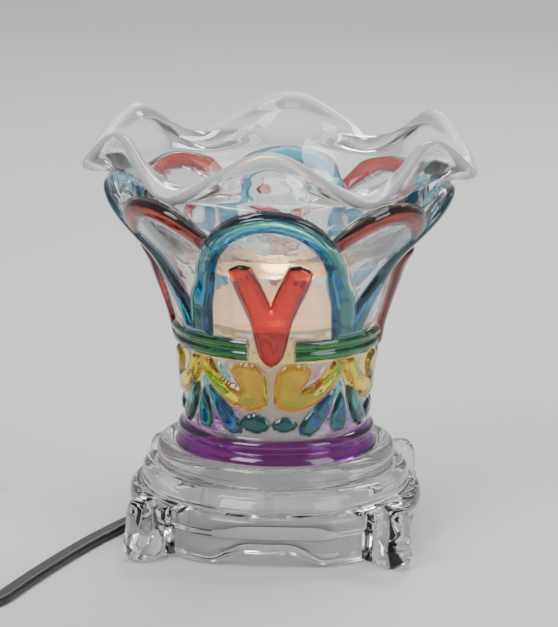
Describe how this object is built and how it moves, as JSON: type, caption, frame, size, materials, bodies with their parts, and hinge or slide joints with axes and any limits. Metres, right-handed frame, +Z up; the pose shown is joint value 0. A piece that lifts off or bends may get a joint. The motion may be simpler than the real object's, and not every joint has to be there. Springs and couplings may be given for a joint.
{
  "type": "electric wax melt warmer",
  "caption": "Wax melt warmer: ruffled clear glass dish on a scalloped coloured glass shade over a stepped clear glass base with bun feet, reflector lamp inside, black flat lead.",
  "frame": {"origin": "middle of the base on the surface it stands on", "axes": "+Z up, -Y to the front as pictured, +X to the right"},
  "size_m": [0.2553, 0.1718, 0.1337],
  "materials": {
    "clear_glass": "polished clear pressed glass",
    "painted_glass": "polished moulded glass, painted in zones by the render",
    "white_steel": "satin white enamel",
    "plated_steel": "zinc plated",
    "ceramic": "unglazed ceramic",
    "brass": "bright stamped brass",
    "mirror_coat": "faceted dichroic coat on glass",
    "lamp_glass": "clear lamp glass",
    "black_pvc": "satin black flexible covering",
    "black_plastic": "fine textured black moulding",
    "grey_plastic": "satin dark grey moulding",
    "tie_plastic": "matt black strap"
  },
  "bodies": {
    "base": {"glass_base": "clear_glass", "housing_cup": "white_steel", "clamp_ring": "white_steel", "bottom_cap": "white_steel", "cap_screws": "plated_steel", "lamp_holder": "ceramic", "holder_contacts": "brass", "cord_bushing": "black_pvc", "cord_lead": "black_pvc", "dimmer_lower_shell": "black_plastic", "dimmer_upper_shell": "black_plastic", "dimmer_control": "grey_plastic", "cord_tail": "black_pvc", "cord_coil": "black_pvc", "cord_tie": "tie_plastic", "cord_end": "black_pvc", "plug_body": "black_plastic", "plug_blades": "brass"},
    "lamp": {"lamp_base": "ceramic", "lamp_pins": "plated_steel", "lamp_reflector": "mirror_coat", "lamp_lens": "lamp_glass", "lamp_capsule": "lamp_glass"},
    "shade": {"glass_shade": "painted_glass"},
    "dish": {"glass_dish": "clear_glass"},
    "wheel": {"dimmer_wheel": "grey_plastic"}
  },
  "joints": [
    {"name": "lamp_twist", "type": "hinge", "parent": "base", "child": "lamp", "pos_m": [0, 0, 0.0303], "axis": [0, 0, 1], "range_deg": [0, 40]},
    {"name": "shade_lift", "type": "slide", "parent": "base", "child": "shade", "axis": [0, 0, 1], "range_m": [0, 0.055]},
    {"name": "dish_lift", "type": "slide", "parent": "shade", "child": "dish", "axis": [0, 0, 1], "range_m": [0, 0.04]},
    {"name": "wheel_turn", "type": "hinge", "parent": "base", "child": "wheel", "pos_m": [-0.1334, -0.1036, 0.0082], "axis": [0, 0, 1], "range_deg": [0, 270]}
  ]
}
